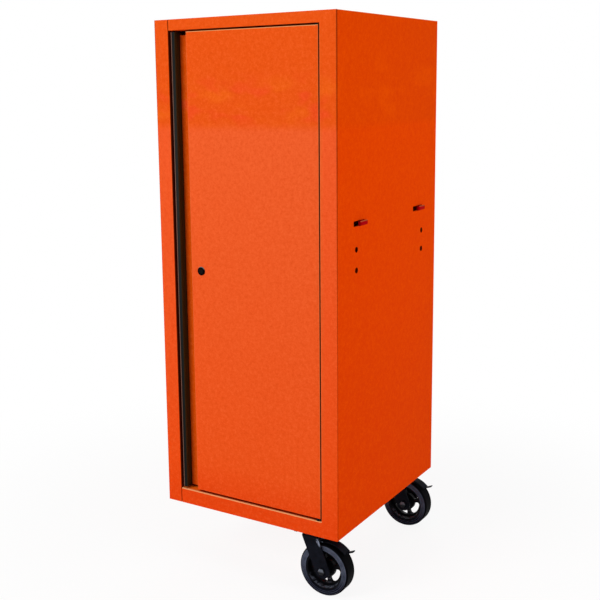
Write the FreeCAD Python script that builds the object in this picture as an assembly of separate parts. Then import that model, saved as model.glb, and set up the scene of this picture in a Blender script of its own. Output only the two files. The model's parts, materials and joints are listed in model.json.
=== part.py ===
import FreeCAD, Part
import math
import os

# Tool chest side locker. Millimetres, +Z up, +X to the right of someone facing the door, +Y to the back.
# The origin is the middle of the body's underside, so the casters reach below z = 0.

V = FreeCAD.Vector

# ---- Driving dimensions: body shell ----
body_width = 482.6
body_depth = 533.4
body_height = 1180.8
sheet = 1.5                    # body sheet metal
left_stile = 39.2              # width of the face strip left of the door
right_stile = 42.0
top_rail_height = 25.4
bottom_rail_height = 37.6
rail_seam = 1.6                # open joint between the left stile and both rails
side_seam = 1.4                # open joint between each stile and its side panel
stile_lap = 12.0               # depth of the stile's lip inside the side panel
stile_return = 45.0            # depth of the fold behind each stile
rail_return = 30.0             # depth of the fold behind each rail
bend_radius = 2.0              # outside of the bends around the door, and of the door's own
corner_radius = 1.2            # dressed edges of the body
rear_flange = 16.5             # fold of each side panel across the back
rivet_radius = 2.0
rivet_head_radius = 3.4
rivet_head_height = 1.2
rivets_per_side = 8
rivet_end_margin = 45.0

# ---- Driving dimensions: floor and base ----
channel_sheet = 2.5
channel_margin = 13.0          # caster bolts' rows, from the channel's sides
channel_end_gap = 0.5
floor_lap = 13.3               # how far the floor tucks under the bottom rail's fold

# ---- Driving dimensions: bolt holes and hooks in the side panels ----
side_hole_radius = 6.5
side_hole_from_front = 91.7    # front pair of holes, from the front face
side_hole_from_back = 85.7     # rear pair, from the back face
side_hole_pitch_z = 47.2
side_hole_middle_z = 637.4
slot_length = 52.0
slot_height = 12.0
slot_middle_z = 720.0
slot_lead = 13.7               # slot's front end, ahead of the bolt hole below it
slot_rear_lead = 51.7          # the same at the rear pair
hook_length = 33.0
hook_height = 10.6
hook_thickness = 7.0
hook_standoff = 2.0            # space between the panel and the hook's tongue
hook_round = 2.6
hook_plate = 2.0
hook_plate_margin = 5.0        # plate's edges, above and below the slot
hook_plate_length = 30.0       # half of it is behind the slot's end
hook_clearance = 0.7           # hook's leg to the end of its slot

# ---- Driving dimensions: shelves ----
standard_width = 20.0
standard_depth = 6.0
standard_sheet = 1.2
standard_inset = 57.0          # middle of each slotted standard, from the front and back faces
standard_bottom = 60.0         # above the underside
standard_top_gap = 45.0
standard_pitch = 50.0
standard_slot_width = 10.0
standard_slot_height = 4.0
shelf_sheet = 1.2
shelf_flange = 18.0
shelf_side_gap = 1.3           # shelf's edge to the clip's upright
shelf_front_inset = 54.0       # shelf's front edge, from the front face
shelf_back_gap = 6.0
shelf_slots = {"shelf_lower": 5, "shelf_middle": 11, "shelf_upper": 16}
clip_sheet = 1.5
clip_width = 16.0
clip_ledge = 13.0
clip_drop = 12.0               # ledge's top above the middle of the slot that holds the clip
clip_fit = 0.4
clip_tab_reach = 2.0           # clip's tab, behind the standard's face sheet

# ---- Driving dimensions: door ----
door_setback = 1.0
door_depth = 22.0
door_sheet = 1.2
door_gap_top = 3.6
door_gap_bottom = 5.9
door_gap_right = 2.5
handle_gap = 6.5               # left stile to the pull strip
handle_width = 11.8
handle_wall = 1.8
handle_round = 1.4             # right front edge of the pull strip
handle_left_round = 3.0
grip_radius = 11.0             # finger groove along the pull strip
grip_depth = 1.1
recess_width = 31.8            # finger space between the pull strip and the door skin
recess_notch = 6.5             # how far the recess floor stops short of the door's top
handle_screw_radius = 2.0
handle_screw_head = 3.8
handle_screw_head_height = 1.8
handle_screw_length = 9.0      # depth of the screw holes in the pull strip
screw_tip_gap = 1.0            # screw's tip to the bottom of its hole
handle_screw_count = 6
handle_screw_margin = 36.5     # first and last screw, from the pull strip's ends
stiffener_width = 60.0
stiffener_end_gap = 16.0

# ---- Driving dimensions: door pivots ----
pivot_edge_margin = 2.6        # bushing's flange, from the skin's right edge
pivot_face_margin = 0.6        # bushing's flange, behind the skin's face
pivot_radius = 3.0
pivot_pin_reach = 9.0          # pin inside the door
pivot_plate = 3.0
pivot_plate_length = 44.0
bushing_wall = 1.5
bushing_flange = 1.0
bushing_flange_lip = 0.85
washer_lip = 0.2               # washer's rim, beyond the bushing's flange

# ---- Driving dimensions: lock and catches ----
lock_from_skin_edge = 28.3     # lock axis, right of the skin's left edge
lock_height = 596.0
lock_bezel_lip = 1.2           # bezel's rim, beyond the barrel
lock_bezel_height = 2.2
lock_barrel_radius = 9.0
lock_plug_radius = 6.5
lock_barrel_overhang = 2.0     # barrel's end behind the door
lock_nut_wall = 3.0            # thinnest part of the nut
lock_nut_height = 4.0
lock_access_gap = 4.0          # barrel to the edge of its hole in the inner panel
keyway_width = 1.3
keyway_height = 7.5
keyway_depth = 6.0
cam_sheet = 2.5
cam_width = 17.0
cam_overlap = 8.4              # how far the cam's tip turns in behind the strike
cam_corner = 5.0
cam_square = 7.0
cam_behind_barrel = 3.0
cam_screw_radius = 2.0
cam_screw_head = 5.0
cam_screw_head_height = 2.0
cam_screw_length = 8.0
strike_sheet = 2.0
strike_length = 35.0
strike_height = 32.0
strike_leg = 17.0
strike_gap = 0.5               # strike to the cam that turns in behind it
catch_levels = (330.0, 860.0)
catch_height = 44.0
catch_width = 16.0
catch_depth = 15.0
catch_plate_height = 36.0
catch_plate_width = 14.0
catch_plate_sheet = 1.5
catch_plate_inset = 0.8        # plate's edge, from the pull strip's outer edge
catch_gap = 0.3

# ---- Driving dimensions: casters ----
wheel_radius = 63.5
wheel_width = 38.0
wheel_drop = 28.6              # top of the wheel, below the caster plate's top
caster_trail = 33.0            # wheel axis, outboard of the swivel axis
swivel_from_right = 83.4       # swivel axis, from the right face
swivel_from_end = 42.0         # swivel axis, from the front and back faces
plate_length = 92.0
plate_width = 60.0
plate_sheet = 3.0
plate_corner = 6.0
plate_hole_radius = 4.5
plate_hole_pitch_x = 73.0
plate_hole_pitch_y = 44.0
bolt_radius = 4.0
bolt_across = 13.0
bolt_head_height = 5.3
nut_height = 6.5
bolt_tail = 3.0                # thread past the nut
race_inner = 14.5
race_outer = 25.5
plate_race_height = 4.0
race_gap = 1.2                 # between the two rings that hold the balls
fork_race_height = 3.8
ball_radius = 2.5
ball_count = 18
kingpin_radius = 6.0
kingpin_head_across = 16.0
kingpin_head_height = 6.0
kingpin_gap = 0.3              # crown to the kingpin's head
fork_sheet = 3.2
fork_top_width = 43.0
fork_crown_radius = 27.0
fork_end_radius = 18.5
fork_bend = 5.0
fork_gap = 1.5                 # hub to each leg
axle_radius = 5.0
axle_head_across = 14.3
axle_head_height = 6.0
axle_head_face = 6.4           # radius of the head's flat end, inside its chamfer
axle_head_chamfer = 30.0       # degrees
axle_nut_height = 8.0
axle_tail = 3.0
sleeve_wall = 2.9
sleeve_end_gap = 0.3
hub_radius = 14.0
hub_overhang = 2.0             # hub's end, beyond the tyre's side
web_thickness = 8.0
web_draft = 3.0                # how far the hub's and rim's flanks lean towards the web
tyre_thickness = 15.5
rim_wall = 4.0
rim_inset = 2.0                # rim's edge, inside the tyre's side
window_count = 4
window_phase = -31.0           # degrees below the wheel's trailing side
window_inner_web = 9.0         # hub to each window
window_outer_web = 7.0         # each window to the inside of the rim
window_spread = 36.0           # half the angle that each window takes
window_round = 5.5
window_round_share = 0.4       # most that a corner's radius takes of the window's height
tyre_shoulder = 5.0
tyre_step_depth = 1.0
tyre_ring_count = 3
tyre_ring_start = 2.6          # innermost groove, outside the rim
tyre_ring_pitch = 2.7
tyre_ring_width = 1.0
brake_sheet = 2.2
brake_side_gap = 2.5           # pedal's barrel to each leg of the fork
brake_shoe_width = 24.0
brake_tip_width = 11.0
brake_gap = 0.7                # pressed pedal to the tread
brake_travel = 6.0             # degrees between released and pressed
brake_pivot_x = 18.0           # from the swivel axis
brake_pivot_drop = 22.5        # below the plate's top
brake_pin_radius = 2.5
brake_barrel_radius = 5.0
brake_pin_head = 4.2
brake_pin_head_height = 1.6
brake_arc_start = 103.0        # degrees around the wheel axis, from the trailing side
brake_arc_end = 39.0
brake_tip_length = 20.0
brake_tip_rise = 17.0          # degrees, with the pedal pressed

# ---- Fits ----
past = 1.0                     # how far a cutter runs beyond the face that it opens
head_rounding = 0.6            # share of a screw or rivet head's height that is rounded
running_fit = 0.05             # radial, between parts that turn
seat_fit = 0.05                # radial, between parts that are fixed together

# ---- Derived places ----
right_x = body_width / 2
left_x = -right_x
back_y = body_depth / 2
front_y = -back_y
inner_x = right_x - sheet
panel_back_y = back_y - 2 * sheet
rail_floor_z = bottom_rail_height - sheet
floor_bottom_z = rail_floor_z - sheet
opening_left = left_x + left_stile
opening_right = right_x - right_stile
opening_top = body_height - top_rail_height
rail_left = opening_left + rail_seam
side_hole_front_y = front_y + side_hole_from_front
side_hole_rear_y = back_y - side_hole_from_back

door_front_y = front_y + door_setback
door_back_y = door_front_y + door_depth
inner_panel_y = door_back_y - door_sheet
door_bottom = bottom_rail_height + door_gap_bottom
door_top = opening_top - door_gap_top
door_right = opening_right - door_gap_right
handle_left = opening_left + handle_gap
handle_right = handle_left + handle_width
skin_left = handle_right + recess_width
bushing_radius = pivot_radius + running_fit + bushing_wall
bushing_flange_radius = bushing_radius + bushing_flange_lip
pivot_x = door_right - pivot_edge_margin - bushing_flange_radius
pivot_y = door_front_y + pivot_face_margin + bushing_flange_radius

lock_x = skin_left + lock_from_skin_edge
barrel_end_y = door_back_y + lock_barrel_overhang
cam_y = barrel_end_y + cam_behind_barrel
strike_y = cam_y - strike_gap - strike_sheet
cam_length = lock_x - (opening_left + strike_length) + cam_overlap

swivel_x = right_x - swivel_from_right
swivels = {"front": front_y + swivel_from_end, "rear": back_y - swivel_from_end}
axle_x = swivel_x + caster_trail
axle_z = -wheel_drop - wheel_radius
channel_width = plate_hole_pitch_y + 2 * channel_margin
race_gap_z = -plate_sheet - plate_race_height
crown_top = race_gap_z - race_gap - fork_race_height
crown_bottom = crown_top - fork_sheet
hub_width = wheel_width + 2 * hub_overhang
fork_inner = hub_width / 2 + fork_gap
fork_outer = fork_inner + fork_sheet
rim_radius = wheel_radius - tyre_thickness
brake_half = fork_inner - brake_side_gap


# ---- Helpers ----
def box(x0, x1, y0, y1, z0, z1):
    """A box between two corners, whichever way round they are given."""
    low = V(min(x0, x1), min(y0, y1), min(z0, z1))
    return Part.makeBox(abs(x1 - x0), abs(y1 - y0), abs(z1 - z0), low)


def rod(radius, start, end):
    """A cylinder from one point to another."""
    direction = V(*end) - V(*start)
    return Part.makeCylinder(radius, direction.Length, V(*start), direction)


def hole_y(radius, x, z, y0, y1):
    """A cutter for a round hole along Y that runs past both faces."""
    return rod(radius, (x, y0 - past, z), (x, y1 + past, z))


def hole_z(radius, x, y, *levels):
    """A cutter for a round hole along Z that runs past both faces."""
    return rod(radius, (x, y, min(levels) - past), (x, y, max(levels) + past))


def tube(outer, inner, start, end):
    """A hollow cylinder from one point to another."""
    return rod(outer, start, end).cut(rod(inner, start, end))


def hexagon(across, start, end):
    """A hexagonal prism along Y or Z from one point to another."""
    direction = V(*end) - V(*start)
    corner = across / math.sqrt(3)
    turns = [math.radians(60 * step) for step in range(7)]
    if abs(direction.z) > 0:
        points = [V(*start) + V(corner * math.cos(a), corner * math.sin(a), 0) for a in turns]
    else:
        points = [V(*start) + V(corner * math.cos(a), 0, corner * math.sin(a)) for a in turns]
    return Part.Face(Part.makePolygon(points)).extrude(direction)


def prism_y(points, y0, y1):
    """A prism along Y over a closed outline of (x, z) points."""
    corners = [V(x, y0, z) for x, z in points]
    return Part.Face(Part.makePolygon(corners + corners[:1])).extrude(V(0, y1 - y0, 0))


def join(shapes):
    """One solid from pieces that touch or overlap."""
    return shapes[0].fuse(shapes[1:]).removeSplitter() if len(shapes) > 1 else shapes[0]


def on_line(edge, axis, places):
    """Whether an edge is straight, runs along the axis and lies at the given places on the other two."""
    ends = [v.Point for v in edge.Vertexes]
    if len(ends) != 2 or abs(abs((ends[1] - ends[0]).normalize().dot(axis)) - 1) > 1e-6:
        return False
    return all(abs(getattr(end, name) - value) < 1e-3 for end in ends for name, value in places.items())


def round_edges(shape, radius, axis, *places):
    """The shape with its straight edges along the axis rounded at each of the places."""
    edges = [e for e in shape.Edges if any(on_line(e, axis, place) for place in places)]
    return shape.makeFillet(radius, edges)


def turned_about_y(points, x, y, z):
    """A solid of revolution about a line along Y, from (radius, offset along Y) points."""
    corners = [V(x + r, y + offset, z) for r, offset in points]
    face = Part.Face(Part.makePolygon(corners + corners[:1]))
    return face.revolve(V(x, y, z), V(0, 1, 0), 360)


def write(name, *solids):
    """Write one node's STEP file, with one solid or a group of separate solids."""
    shape = solids[0] if len(solids) == 1 else Part.makeCompound(list(solids))
    shape.exportStep("parts/" + name + ".step")


# ---- Body shell ----
def side_hole_places():
    """(y, z) of the four bolt holes in each side panel."""
    return [(y, side_hole_middle_z + way * side_hole_pitch_z / 2)
            for y in (side_hole_front_y, side_hole_rear_y) for way in (-1, 1)]


def slot_starts():
    """Front end of the front slot and of the rear slot."""
    return {"front": side_hole_front_y - slot_lead, "rear": side_hole_rear_y - slot_rear_lead}


def rivet_places():
    """(x, z) of the rivets that hold the back panel to the side panels' flanges."""
    run = body_height - 2 * rivet_end_margin
    levels = [rivet_end_margin + run * i / (rivets_per_side - 1) for i in range(rivets_per_side)]
    x = right_x - sheet - (rear_flange - sheet) / 2
    return [(side * x, z) for side in (-1, 1) for z in levels]


def rivet_holes():
    radius = rivet_radius + seat_fit
    return [hole_y(radius, x, z, panel_back_y, back_y) for x, z in rivet_places()]


def side_panel(side):
    """Side sheet with its flange across the back, four bolt holes and two hook slots."""
    outer = side * right_x
    inner = side * inner_x
    wall = box(outer, inner, front_y + sheet + side_seam, back_y, 0, body_height)
    flange = box(outer, side * (right_x - rear_flange), back_y - sheet, back_y, 0, body_height)
    panel = round_edges(join([wall, flange]), corner_radius, V(0, 0, 1), {"x": outer, "y": back_y})
    panel = round_edges(panel, corner_radius, V(0, 1, 0), {"x": outer, "z": body_height})
    holes = [rod(side_hole_radius, (outer + side, y, z), (inner - side, y, z)) for y, z in side_hole_places()]
    for start in slot_starts().values():
        half = slot_height / 2
        slot = box(outer + side, inner - side, start, start + slot_length,
                   slot_middle_z - half, slot_middle_z + half)
        holes.append(slot)
    return panel.cut(holes + rivet_holes())


def edge_rounding(x, side, z0, z1):
    """A cutter that rounds a stile's edge beside the door between two heights."""
    r = bend_radius
    corner = box(x - side * past, x + side * r, front_y - past, front_y + r, z0, z1)
    return corner.cut(rod(r, (x + side * r, front_y + r, z0), (x + side * r, front_y + r, z1)))


def stile(side, width):
    """Face strip beside the door, with a fold beside the door and a lip inside the side panel."""
    outer = side * right_x
    edge = side * (right_x - width)
    top = body_height - sheet
    face = box(outer, edge, front_y, front_y + sheet, 0, body_height)
    fold = box(edge, edge + side * sheet, front_y, front_y + stile_return, rail_floor_z, top)
    lip = box(side * inner_x, side * (inner_x - sheet), front_y, front_y + stile_lap, rail_floor_z, top)
    strip = join([face, fold, lip])
    strip = round_edges(strip, corner_radius, V(0, 0, 1), {"x": outer, "y": front_y})
    return strip.cut(edge_rounding(edge, side, 0 if side < 0 else bottom_rail_height,
                                   body_height if side < 0 else opening_top))


def rail(face_low, face_high, fold_low, bend_z):
    """Face strip above or below the door, with its level fold into the cabinet."""
    face = box(rail_left, opening_right, front_y, front_y + sheet, face_low, face_high)
    fold = box(rail_left, opening_right, front_y, front_y + rail_return, fold_low, fold_low + sheet)
    pin_hole = hole_z(pivot_radius + seat_fit, pivot_x, pivot_y, fold_low, fold_low + sheet)
    strip = round_edges(join([face, fold]), bend_radius, V(1, 0, 0), {"y": front_y, "z": bend_z})
    return strip.cut(pin_hole)


def caster_hole_places():
    """(x, y) of the bolts through both caster plates."""
    return [(swivel_x + sx * plate_hole_pitch_x / 2, middle_y + sy * plate_hole_pitch_y / 2)
            for middle_y in swivels.values() for sx in (-1, 1) for sy in (-1, 1)]


def caster_holes():
    top = sheet + channel_sheet
    return [hole_z(plate_hole_radius, x, y, -plate_sheet, top) for x, y in caster_hole_places()]


def build_shell():
    write("left_side_panel", side_panel(-1))
    write("right_side_panel", side_panel(1))
    write("left_stile", stile(-1, left_stile))
    write("right_stile", stile(1, right_stile))
    write("top_rail", rail(opening_top, body_height, opening_top, opening_top))
    write("bottom_rail", rail(0, bottom_rail_height, rail_floor_z, bottom_rail_height))
    inside_front = front_y + sheet
    write("top_panel", box(-inner_x, inner_x, inside_front, panel_back_y, body_height - sheet, body_height))
    back = box(-inner_x, inner_x, panel_back_y, back_y - sheet, 0, body_height)
    write("back_panel", back.cut(rivet_holes()))
    rivets = []
    for x, z in rivet_places():
        shank = rod(rivet_radius, (x, panel_back_y, z), (x, back_y, z))
        head = rod(rivet_head_radius, (x, back_y, z), (x, back_y + rivet_head_height, z))
        rim = [e for e in head.Edges if abs(e.BoundBox.YMin - back_y - rivet_head_height) < 1e-6]
        rivets.append(join([shank, head.makeFillet(rivet_head_height * head_rounding, rim)]))
    write("back_rivets", *rivets)


def base_channel(middle_y):
    """Channel across the base that takes the caster bolts and carries the floor."""
    half = channel_width / 2
    end = inner_x - channel_end_gap
    solid = box(-end, end, middle_y - half, middle_y + half, sheet, floor_bottom_z)
    trough = box(-end - past, end + past, middle_y - half + channel_sheet, middle_y + half - channel_sheet,
                 sheet + channel_sheet, floor_bottom_z + past)
    return solid.cut([trough] + caster_holes())


def build_base():
    pan = box(-inner_x, inner_x, front_y + sheet, panel_back_y, 0, sheet)
    write("base_pan", pan.cut(caster_holes()))
    for name, middle_y in swivels.items():
        write("base_channel_" + name, base_channel(middle_y))
    floor_front = front_y + rail_return - floor_lap
    write("floor_panel", box(-inner_x, inner_x, floor_front, panel_back_y, floor_bottom_z, rail_floor_z))


# ---- Hooks on the right side ----
def side_hook(start):
    """Coated hook: a plate inside the panel, a leg through the slot and a tongue that points forward."""
    z0 = slot_middle_z - hook_height / 2
    z1 = slot_middle_z + hook_height / 2
    leg_back = start + slot_length - hook_clearance
    tongue_x = right_x + hook_standoff
    outer_x = tongue_x + hook_thickness
    tongue = box(tongue_x, outer_x, leg_back - hook_length, leg_back, z0, z1)
    corners = [{"x": x, "z": z} for x in (tongue_x, outer_x) for z in (z0, z1)]
    rounded = round_edges(tongue, hook_round, V(0, 1, 0), *corners)
    leg = box(inner_x - hook_plate, tongue_x + hook_thickness / 2, leg_back - hook_thickness, leg_back,
              z0 + hook_round, z1 - hook_round)
    half = slot_height / 2 + hook_plate_margin
    plate_middle = start + slot_length
    plate = box(inner_x - hook_plate, inner_x,
                plate_middle - hook_plate_length / 2, plate_middle + hook_plate_length / 2,
                slot_middle_z - half, slot_middle_z + half)
    return join([rounded, leg, plate])


def build_hooks():
    for name, start in slot_starts().items():
        write("side_hook_" + name, side_hook(start))


# ---- Shelves ----
standard_face_x = inner_x - standard_depth
standard_rows = (front_y + standard_inset, back_y - standard_inset)


def slot_level(index):
    """Height of the middle of a slot in the standards."""
    return standard_bottom + standard_pitch * (index + 0.5)


def standard(side, middle_y):
    """Slotted channel on the side panel, open towards the panel."""
    half = standard_width / 2
    top = body_height - standard_top_gap
    wall = side * inner_x
    face = side * standard_face_x
    skin = side * (standard_face_x + standard_sheet)
    solid = box(wall, face, middle_y - half, middle_y + half, standard_bottom, top)
    hollow = box(wall, skin, middle_y - half + standard_sheet, middle_y + half - standard_sheet,
                 standard_bottom - past, top + past)
    slots = []
    for index in range(int((top - standard_bottom) / standard_pitch)):
        z = slot_level(index)
        slots.append(box(face - side, skin + side, middle_y - standard_slot_width / 2,
                         middle_y + standard_slot_width / 2,
                         z - standard_slot_height / 2, z + standard_slot_height / 2))
    return solid.cut([hollow] + slots)


def shelf_clip(side, middle_y, index):
    """Clip hooked into a slot, with a ledge under the shelf."""
    z = slot_level(index)
    ledge_top = z + clip_drop
    face = side * standard_face_x
    half = clip_width / 2
    upright = box(face, face - side * clip_sheet, middle_y - half, middle_y + half,
                  z - clip_drop / 2, ledge_top)
    ledge = box(face, face - side * (clip_sheet + clip_ledge), middle_y - half, middle_y + half,
                ledge_top - clip_sheet, ledge_top)
    tab_half = standard_slot_width / 2 - clip_fit
    tab = box(face, face + side * (standard_sheet + clip_tab_reach), middle_y - tab_half, middle_y + tab_half,
              z - standard_slot_height / 2, z + standard_slot_height / 2 - clip_fit)
    return join([upright, ledge, tab])


def shelf(index):
    """Tray with its edges folded down, resting on four clips."""
    bottom = slot_level(index) + clip_drop
    top = bottom + shelf_flange
    half = standard_face_x - clip_sheet - shelf_side_gap
    y0 = front_y + shelf_front_inset
    y1 = panel_back_y - shelf_back_gap
    solid = box(-half, half, y0, y1, bottom, top)
    hollow = box(-half + shelf_sheet, half - shelf_sheet, y0 + shelf_sheet, y1 - shelf_sheet,
                 bottom - past, top - shelf_sheet)
    return solid.cut(hollow)


def build_shelves():
    write("shelf_standards", *[standard(side, y) for side in (-1, 1) for y in standard_rows])
    clips = []
    for name, index in shelf_slots.items():
        write(name, shelf(index))
        clips += [shelf_clip(side, y, index) for side in (-1, 1) for y in standard_rows]
    write("shelf_clips", *clips)


# ---- Door ----
def handle_screw_places():
    """(x, z) of the screws that hold the pull strip, evenly spaced."""
    x = (handle_left + handle_right) / 2
    first = door_bottom + handle_screw_margin
    step = (door_top - handle_screw_margin - first) / (handle_screw_count - 1)
    return [(x, first + step * i) for i in range(handle_screw_count)]


def door_skin():
    """Outer sheet of the door, folded back on all four sides."""
    solid = box(skin_left, door_right, door_front_y, inner_panel_y, door_bottom, door_top)
    rim = [e for e in solid.Edges if e.BoundBox.YMax < door_front_y + past]
    solid = solid.makeFillet(bend_radius, rim)
    hollow = box(skin_left + door_sheet, door_right - door_sheet, door_front_y + door_sheet,
                 inner_panel_y + past, door_bottom + door_sheet, door_top - door_sheet)
    lock_hole = hole_y(lock_barrel_radius + seat_fit, lock_x, lock_height,
                       door_front_y, door_front_y + door_sheet)
    seat = bushing_radius + seat_fit
    low_hole = hole_z(seat, pivot_x, pivot_y, door_bottom, door_bottom + door_sheet)
    high_hole = hole_z(seat, pivot_x, pivot_y, door_top - door_sheet, door_top)
    return solid.cut([hollow, lock_hole, low_hole, high_hole])


def door_inner_panel():
    """Back sheet of the door. Left of the skin it is the floor of the finger recess and carries the pull."""
    sheet_metal = box(handle_left, door_right, inner_panel_y, door_back_y, door_bottom, door_top)
    notch = box(handle_right, skin_left, inner_panel_y - past, door_back_y + past,
                door_top - recess_notch, door_top + past)
    lock_hole = hole_y(lock_barrel_radius + lock_access_gap, lock_x, lock_height, inner_panel_y, door_back_y)
    cuts = [notch, lock_hole]
    for x, z in handle_screw_places():
        cuts.append(hole_y(handle_screw_radius + seat_fit, x, z, inner_panel_y, door_back_y))
    return sheet_metal.cut(cuts)


def door_handle():
    """Hollow extruded pull strip with a finger groove along its right side."""
    solid = box(handle_left, handle_right, door_front_y, inner_panel_y, door_bottom, door_top)
    solid = round_edges(solid, handle_round, V(0, 0, 1), {"x": handle_right, "y": door_front_y})
    solid = round_edges(solid, handle_left_round, V(0, 0, 1), {"x": handle_left, "y": door_front_y})
    groove_x = handle_right + grip_radius - grip_depth
    groove_y = (door_front_y + inner_panel_y) / 2
    groove = hole_z(grip_radius, groove_x, groove_y, door_bottom, door_top)
    bore = box(handle_left + handle_wall, handle_right - handle_wall - grip_depth, door_front_y + handle_wall,
               inner_panel_y - handle_screw_length, door_bottom - past, door_top + past)
    cuts = [groove, bore]
    for x, z in handle_screw_places():
        cuts.append(rod(handle_screw_radius + seat_fit, (x, inner_panel_y - handle_screw_length, z),
                        (x, inner_panel_y + past, z)))
    return solid.cut(cuts)


def handle_screws():
    screws = []
    for x, z in handle_screw_places():
        tip_y = inner_panel_y - handle_screw_length + screw_tip_gap
        shank = rod(handle_screw_radius, (x, tip_y, z), (x, door_back_y, z))
        head_end = door_back_y + handle_screw_head_height
        head = rod(handle_screw_head, (x, door_back_y, z), (x, head_end, z))
        rim = [e for e in head.Edges if abs(e.BoundBox.YMin - head_end) < 1e-6]
        screws.append(join([shank, head.makeFillet(handle_screw_head_height * head_rounding, rim)]))
    return screws


def door_stiffener():
    """Channel between the skin and the inner panel, at the middle of the skin."""
    middle_x = (skin_left + door_right) / 2
    half = stiffener_width / 2
    y0 = door_front_y + door_sheet
    z0 = door_bottom + stiffener_end_gap
    z1 = door_top - stiffener_end_gap
    solid = box(middle_x - half, middle_x + half, y0, inner_panel_y, z0, z1)
    hollow = box(middle_x - half + door_sheet, middle_x + half - door_sheet, y0 + door_sheet,
                 inner_panel_y + past, z0 - past, z1 + past)
    return solid.cut(hollow)


def pivot_block(level, way):
    """Plate inside the door that holds a pivot bushing. way is +1 at the bottom and -1 at the top."""
    z = level + way * door_sheet
    right = door_right - door_sheet
    plate = box(right - pivot_plate_length, right, door_front_y + door_sheet, inner_panel_y,
                z, z + way * pivot_plate)
    return plate.cut(hole_z(bushing_radius + seat_fit, pivot_x, pivot_y, z, z + way * pivot_plate))


def pivot_bushing(level, way):
    """Flanged bushing that turns on a pivot pin."""
    reach = level + way * (door_sheet + pivot_plate)
    body = rod(bushing_radius, (pivot_x, pivot_y, level), (pivot_x, pivot_y, reach))
    rim = level - way * bushing_flange
    flange = rod(bushing_flange_radius, (pivot_x, pivot_y, rim), (pivot_x, pivot_y, level))
    bore = hole_z(pivot_radius + running_fit, pivot_x, pivot_y, rim, reach)
    return join([body, flange]).cut(bore)


def pivot_pins():
    spans = ((rail_floor_z, door_bottom + pivot_pin_reach), (door_top - pivot_pin_reach, opening_top + sheet))
    return [rod(pivot_radius, (pivot_x, pivot_y, low), (pivot_x, pivot_y, high)) for low, high in spans]


def build_door():
    write("door_skin", door_skin())
    write("door_inner_panel", door_inner_panel())
    write("door_stiffener", door_stiffener())
    write("door_handle", door_handle())
    write("handle_screws", *handle_screws())
    write("door_pivot_plates", pivot_block(door_bottom, 1), pivot_block(door_top, -1))
    write("pivot_bushings", pivot_bushing(door_bottom, 1), pivot_bushing(door_top, -1))
    write("pivot_pins", *pivot_pins())
    washer_top = door_bottom - bushing_flange - catch_gap
    write("pivot_washer", tube(bushing_flange_radius + washer_lip, pivot_radius + seat_fit,
                               (pivot_x, pivot_y, bottom_rail_height), (pivot_x, pivot_y, washer_top)))


# ---- Lock and catches ----
def lock_rod(radius, y0, y1):
    return rod(radius, (lock_x, y0, lock_height), (lock_x, y1, lock_height))


def lock_housing():
    """Bezel and threaded barrel, fixed in the door."""
    face_y = door_front_y - lock_bezel_height
    bezel = lock_rod(lock_barrel_radius + lock_bezel_lip, face_y, door_front_y)
    rim = [e for e in bezel.Edges if abs(e.BoundBox.YMax - face_y) < 1e-6]
    bezel = bezel.makeFillet(lock_bezel_height * head_rounding, rim)
    barrel = lock_rod(lock_barrel_radius, door_front_y, barrel_end_y)
    bore = lock_rod(lock_plug_radius + running_fit, face_y - past, barrel_end_y + past)
    return join([bezel, barrel]).cut(bore)


def lock_nut():
    y0 = door_front_y + door_sheet
    across = 2 * (lock_barrel_radius + seat_fit + lock_nut_wall)
    nut = hexagon(across, (lock_x, y0, lock_height), (lock_x, y0 + lock_nut_height, lock_height))
    return nut.cut(lock_rod(lock_barrel_radius + seat_fit, y0 - past, y0 + lock_nut_height + past))


def lock_plug():
    """Turning plug with its keyway and a square tail for the cam."""
    face_y = door_front_y - lock_bezel_height
    body = lock_rod(lock_plug_radius, face_y, cam_y)
    half = cam_square / 2
    tail = box(lock_x - half, lock_x + half, cam_y, cam_y + cam_sheet, lock_height - half, lock_height + half)
    keyway = box(lock_x - keyway_width / 2, lock_x + keyway_width / 2, face_y - past, face_y + keyway_depth,
                 lock_height - keyway_height / 2, lock_height + keyway_height / 2)
    end_y = cam_y + cam_sheet
    screw_hole = lock_rod(cam_screw_radius + seat_fit, end_y - cam_screw_length, end_y + past)
    return join([body, tail]).cut([keyway, screw_hole])


def lock_cam():
    """Flat cam that points up when the door is free."""
    half = cam_width / 2
    square = cam_square / 2 + seat_fit
    y1 = cam_y + cam_sheet
    blade = box(lock_x - half, lock_x + half, cam_y, y1, lock_height, lock_height + cam_length)
    tip_corners = [{"x": lock_x + way * half, "z": lock_height + cam_length} for way in (-1, 1)]
    blade = round_edges(blade, cam_corner, V(0, 1, 0), *tip_corners)
    hole = box(lock_x - square, lock_x + square, cam_y - past, y1 + past,
               lock_height - square, lock_height + square)
    return join([blade, lock_rod(half, cam_y, y1)]).cut(hole)


def cam_screw():
    end_y = cam_y + cam_sheet
    shank = lock_rod(cam_screw_radius, end_y - cam_screw_length + screw_tip_gap, end_y)
    return join([shank, lock_rod(cam_screw_head, end_y, end_y + cam_screw_head_height)])


def lock_strike():
    """Angle on the left stile's fold. The cam turns in behind its face."""
    half = strike_height / 2
    z0 = lock_height - half
    z1 = lock_height + half
    face = box(opening_left, opening_left + strike_length, strike_y, strike_y + strike_sheet, z0, z1)
    leg = box(opening_left, opening_left + strike_sheet, strike_y, strike_y + strike_leg, z0, z1)
    return join([face, leg])


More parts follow.
